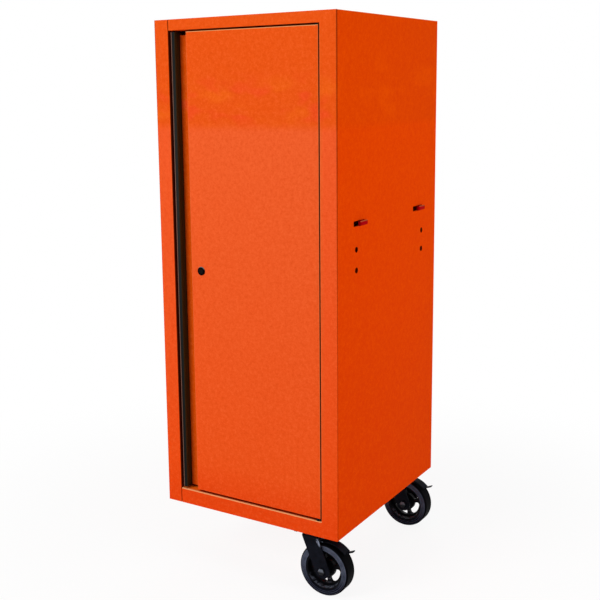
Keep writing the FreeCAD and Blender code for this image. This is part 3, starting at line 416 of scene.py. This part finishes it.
def with_painted_shade(paint, tone, facing, place):
    """Painted shade: dark walls in the holes, a dark line down the front corners, dark faces seen through
    the openings, and darkening in the joints.
    """
    outward = paint.maths("ABSOLUTE", place["X"])
    at_holes = paint.times(paint.window(place["Z"], HOLES_Z),
                           paint.fade(paint.maths("ABSOLUTE", place["Y"]), HOLES_Y))
    wall = paint.times(paint.fade(paint.maths("ABSOLUTE", facing["X"]), FACES_ALONG),
                       paint.fade(outward, CUT_EDGE, half_width, -1))
    tone = paint.mix(paint.times(wall, at_holes), tone, srgb(74, 6, 2))
    corner = paint.times(paint.fade(outward, CORNER_WIDTH, half_width, -1),
                         paint.fade(place["Y"], CORNER_DEPTH, frame_front),
                         paint.span(place["Z"], *CORNER_Z, 0.0, 0.7))
    tone = paint.mix(corner, tone, srgb(120, 28, 6))
    hidden = paint.times(paint.fade(facing["X"], FACES_RIGHT),
                         paint.fade(outward, HIDDEN_DEPTH, half_width, -1), 0.85)
    tone = paint.mix(hidden, tone, srgb(50, 8, 1))
    return paint.mix(paint.crevice(JOINT_SHADE_REACH), tone, srgb(40, 7, 1))


def with_sill(paint, tone, facing, place):
    """The sill below the door: a painted highlight on its lip, and painted light, a warm pale tone, on its
    top where it runs back under the recess.
    """
    upward = paint.times(paint.fade(place["Z"], SILL_Z), paint.fade(facing["Z"], FACES_UP))
    lip = paint.fade(place["Y"], SILL_LIP, frame_front)
    in_recess = paint.times(paint.span(place["X"], recess_end + RECESS_EDGE, recess_end - RECESS_EDGE),
                            paint.fade(place["Y"], RECESS_SILL, frame_front))
    sill = paint.mix(lip, srgb(232, 104, 16), srgb(244, 166, 116))
    return paint.mix(paint.times(upward, paint.maths("MAXIMUM", lip, in_recess)), tone, sill)


def orange_paint():
    """Powder coat with an orange-peel skin, in a lit copy on the front and a shaded copy on the sides,
    toned by place with painted light, with painted highlights on the bends and painted shade in the joints.
    """
    paint = Finish("orange_paint", specular=0.002)
    facing = paint.parts(paint.normal)
    place = paint.parts(paint.place)
    front = paint.fade(facing["Y"], FRONT_FACES)
    on_door = paint.window(place["X"], DOOR_FIELD_X)
    # the front takes a lit copy of the paint and the sides a shaded copy
    tone = paint.mix(front, side_tone(paint, place), front_tone(paint, place, on_door))
    grain = paint.noise(105.0, 5.0, 0.95)
    pale = paint.mix(front, srgb(248, 96, 2), srgb(248, 113, 60))
    deep = paint.mix(front, srgb(222, 44, 0), srgb(217, 58, 6))
    tone = paint.mix(paint.span(grain, 0.5, 0.7, 0.0, 0.5), tone, pale)
    tone = paint.mix(paint.span(grain, 0.5, 0.3, 0.0, 0.5), tone, deep)
    # painted highlights on the bends
    tone = painted_highlights(paint, tone, facing, on_door)
    # painted shade in the holes, corners, openings and joints
    tone = with_painted_shade(paint, tone, facing, place)
    paint.colour(with_sill(paint, tone, facing, place))
    paint.rough(paint.span(grain, 0.3, 0.7, 0.34, 0.46))
    paint.bump((paint.noise(210.0, 2.0, 0.6), 0.0004, 0.4), (paint.noise(700.0, 2.0), 0.00015, 0.25))
    return paint.material


def zinc():
    """Zinc plating with a soft spangle and a faint yellow cast, with painted shade in the corners and below
    the base.
    """
    plate = Finish("zinc", metallic=1.0)
    cast = plate.span(plate.noise(60.0, 3.0), 0.3, 0.7)
    plain_or_foot_shade = plate.mix(cast, srgb(202, 203, 205), srgb(214, 208, 188))
    # painted shade in the corners, then below the base
    corner_shaded = plate.mix(plate.crevice(ZINC_SHADE_REACH), plain_or_foot_shade, srgb(70, 62, 54))
    below = plate.times(plate.fade(plate.parts(plate.place)["Z"], BELOW_BASE_SHADE_Z), 0.92)
    plate.colour(plate.mix(below, corner_shaded, srgb(30, 27, 28)))
    plate.rough(plate.span(plate.noise(240.0, 3.0), 0.3, 0.7, 0.26, 0.42))
    plate.bump((plate.noise(700.0, 2.0), 0.0001, 0.1))
    return plate.material


def black_anodised():
    """Black anodised extrusion: fine drawing lines, a painted highlight on the outer edge and a painted
    reflection of the orange recess on the grip side.
    """
    metal = Finish("black_anodised", specular=0.06)
    facing = metal.parts(metal.normal)
    lines = metal.noise(1.0, 2.0, 0.6, metal.stretched(2600, 2600, 6))
    tone = metal.mix(lines, srgb(6, 10, 10), srgb(13, 18, 18))
    # painted reflection of the orange recess on the grip side
    tone = metal.mix(metal.fade(facing["X"], GRIP_FACES), tone, srgb(56, 42, 16))
    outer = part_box("door_handle")[0].x
    edge_highlight = metal.times(metal.fade(metal.parts(metal.place)["X"], GRIP_HIGHLIGHT, outer),
                      metal.fade(facing["Y"], GRIP_FRONT))
    metal.colour(metal.mix(edge_highlight, tone, srgb(128, 84, 68)))
    metal.rough(metal.span(lines, 0.3, 0.7, 0.26, 0.36))
    metal.bump((lines, 0.00005, 0.15))
    return metal.material


def black_lock():
    """Black enamel over the lock's bezel, turned in rings, with a painted glint on its upper rounding."""
    enamel = Finish("black_lock", specular=0.005)
    low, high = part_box("lock_housing")
    rings = enamel.maths("SINE", enamel.times(enamel.axis_distance((low + high) / 2), 9000.0))
    wear = enamel.span(enamel.noise(500.0, 3.0), 0.35, 0.75)
    tone = enamel.mix(wear, srgb(1, 1, 2), srgb(3, 4, 5))
    rim = enamel.times(enamel.fade(enamel.parts(enamel.normal)["Z"], RIM_ROUNDING), 0.8)
    enamel.colour(enamel.mix(rim, tone, srgb(120, 146, 146)))
    enamel.rough(enamel.span(wear, 0.0, 1.0, 0.22, 0.34))
    enamel.bump((rings, 0.00003, 0.1))
    return enamel.material


def lock_steel():
    """Dark nickel on the lock's plug, a little brighter and redder round the keyway."""
    steel = Finish("lock_steel", specular=0.02)
    low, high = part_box("lock_plug")
    plain = steel.fade(steel.axis_distance((low + high) / 2), PLUG_PLAIN)
    scratch = steel.noise(1.0, 2.0, 0.6, steel.stretched(300, 300, 2600))
    steel.colour(steel.mix(plain, srgb(20, 15, 16), srgb(6, 7, 7)))
    steel.rough(steel.span(scratch, 0.3, 0.7, 0.26, 0.4))
    steel.bump((scratch, 0.00003, 0.12))
    return steel.material


def red_vinyl():
    """Dipped vinyl: slow waves where the dip ran, and a painted highlight along the upper rounding."""
    vinyl = Finish("red_vinyl", specular=0.004)
    tone = vinyl.span(vinyl.noise(120.0, 2.0), 0.3, 0.7)
    dip = vinyl.mix(tone, srgb(168, 0, 8), srgb(182, 0, 14))
    upward = vinyl.parts(vinyl.normal)["Z"]
    top = vinyl.times(vinyl.window(upward, HOOK_ROUNDING), 0.9)
    vinyl.colour(vinyl.mix(top, dip, srgb(196, 118, 74)))
    vinyl.rough(vinyl.span(tone, 0.0, 1.0, 0.34, 0.46))
    vinyl.bump((vinyl.noise(220.0, 1.0), 0.0003, 0.25))
    return vinyl.material


def black_caster():
    """Satin black coat on the pressed caster steel, with a pale painted highlight at the top of the fork's
    trailing edge.
    """
    coat = Finish("black_caster", specular=0.02)
    tone = coat.span(coat.noise(90.0, 4.0), 0.3, 0.7)
    black = coat.mix(tone, srgb(12, 13, 19), srgb(20, 22, 30))
    place = coat.parts(coat.place)
    drop = coat.maths("SUBTRACT", FORK_EDGE[1], place["Z"])
    edge = coat.maths("ADD", coat.times(drop, FORK_EDGE_SLOPE), FORK_EDGE[0])
    inside = coat.maths("SUBTRACT", edge, place["X"])
    strip = coat.times(coat.fade(inside, FORK_GLINT_IN), coat.fade(inside, FORK_GLINT_OUT))
    forward = coat.fade(coat.parts(coat.normal)["Y"], FACES_FORWARD)
    edge_highlight = coat.times(strip, coat.window(drop, FORK_GLINT_DROP), forward, 0.85)
    coat.colour(coat.mix(edge_highlight, black, srgb(150, 160, 182)))
    coat.rough(coat.span(tone, 0.0, 1.0, 0.3, 0.42))
    coat.bump((coat.noise(650.0, 2.0), 0.00012, 0.2))
    return coat.material


def bright_steel():
    """Plain turned steel with a film of oil."""
    steel = Finish("bright_steel", metallic=1.0)
    film = steel.span(steel.noise(180.0, 3.0), 0.3, 0.7)
    steel.colour(steel.mix(film, srgb(178, 180, 183), srgb(158, 154, 146)))
    steel.rough(steel.span(film, 0.0, 1.0, 0.18, 0.32))
    return steel.material


def caster_rubber(node):
    """Tyre: blue-grey side walls, ribbed and darkened towards the foot by painted shade, and a black tread.
    """
    rubber = Finish("caster_rubber_" + node, specular=0.012)
    low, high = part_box(node)
    wheel_radius = (high.z - low.z) / 2
    distance = rubber.axis_distance((low + high) / 2)
    dust = rubber.span(rubber.noise(70.0, 4.0, 0.6), 0.3, 0.75)
    wall = rubber.mix(dust, srgb(68, 73, 90), srgb(92, 99, 116))
    ribs = rubber.maths("SINE", rubber.times(distance, 1500.0))
    shaded_ribs = rubber.mix(rubber.span(ribs, 0.5, 0.95), srgb(18, 19, 29), srgb(74, 79, 98))
    # painted shade: the ribbed wall darkens towards the foot
    plain_or_foot_shade = rubber.fade(rubber.parts(rubber.place)["Z"], WALL_FOOT_SHADE, low.z, wheel_radius)
    wall = rubber.mix(plain_or_foot_shade, wall, shaded_ribs)
    tread = rubber.fade(distance, TREAD_ROUND, wheel_radius, -1)
    rubber.colour(rubber.mix(tread, wall, srgb(4, 4, 6)))
    rubber.rough(rubber.span(dust, 0.0, 1.0, 0.46, 0.62))
    rings = rubber.maths("SINE", rubber.times(distance, 5200.0))
    rubber.bump((rings, 0.00008, 0.2), (rubber.noise(900.0, 2.0), 0.0001, 0.25))
    return rubber.material


def wheel_plastic(node):
    """Wheel core: moulded black, with faint rings of road dust on its lower side."""
    plastic = Finish("wheel_plastic_" + node, specular=0.05)
    low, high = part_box(node)
    centre = (low + high) / 2
    tone = plastic.span(plastic.noise(110.0, 3.0), 0.3, 0.7)
    black = plastic.mix(tone, srgb(7, 7, 10), srgb(13, 14, 18))
    rings = plastic.maths("SINE", plastic.times(plastic.axis_distance(centre), 760.0))
    patchy = plastic.span(plastic.noise(160.0, 3.0), 0.4, 0.6)
    below = plastic.fade(plastic.parts(plastic.place)["Z"], RIM_DUST_DROP, centre.z, -1)
    dust = plastic.times(plastic.span(rings, 0.3, 0.95), patchy, below)
    plastic.colour(plastic.mix(dust, black, srgb(84, 88, 100)))
    plastic.rough(plastic.span(tone, 0.0, 1.0, 0.34, 0.46))
    plastic.bump((plastic.noise(1300.0, 2.0), 0.00008, 0.25))
    return plastic.material


def moulded_black(name, dark, light, roughness):
    """Moulded black plastic with a fine spark-eroded texture."""
    plastic = Finish(name, specular=0.05)
    tone = plastic.span(plastic.noise(110.0, 3.0), 0.3, 0.7)
    plastic.colour(plastic.mix(tone, dark, light))
    plastic.rough(plastic.span(tone, 0.0, 1.0, roughness - 0.06, roughness + 0.06))
    plastic.bump((plastic.noise(1300.0, 2.0), 0.00008, 0.25))
    return plastic.material


def black_oxide():
    """Steel blackened in a hot bath, with a painted glint on the upper front of the axle bolts' heads."""
    steel = Finish("black_oxide", specular=0.1)
    film = steel.span(steel.noise(260.0, 3.0), 0.3, 0.7)
    black = steel.mix(film, srgb(8, 8, 10), srgb(26, 26, 29))
    head = steel.times(steel.fade(steel.parts(steel.normal)["Y"], FACES_FORWARD),
                       steel.window(steel.parts(steel.place)["Z"], AXLE_HEAD, AXLE_Z))
    steel.colour(steel.mix(head, black, srgb(100, 106, 116)))
    steel.rough(steel.span(film, 0.0, 1.0, 0.3, 0.42))
    return steel.material


def finish_nodes():
    """Give every CAD node the finish that its material slot in the record names."""
    shared = {
        "orange_paint": orange_paint(),
        "zinc": zinc(),
        "black_anodised": black_anodised(),
        "black_lock": black_lock(),
        "lock_steel": lock_steel(),
        "red_vinyl": red_vinyl(),
        "black_caster": black_caster(),
        "bright_steel": bright_steel(),
        "nylon": moulded_black("nylon", srgb(18, 18, 18), srgb(26, 26, 26), 0.45),
        "black_oxide": black_oxide(),
        "black_plastic": moulded_black("black_plastic", srgb(22, 22, 23), srgb(32, 32, 33), 0.5),
    }
    by_node = {"caster_rubber": caster_rubber, "wheel_plastic": wheel_plastic}
    for part in frame["record"]["subparts"]:
        node = part["node"]
        slot = part["material_slot"]
        material = by_node[slot](node) if slot in by_node else shared[slot]
        mesh = nodes[node].data
        mesh.materials.clear()
        mesh.materials.append(material)


make_camera()
make_world()
for name, (place, width, height, watts) in LAMPS.items():
    make_lamp(name, place, width, height, watts)
make_floor()
finish_nodes()

bpy.context.scene.view_settings.view_transform = "Standard"
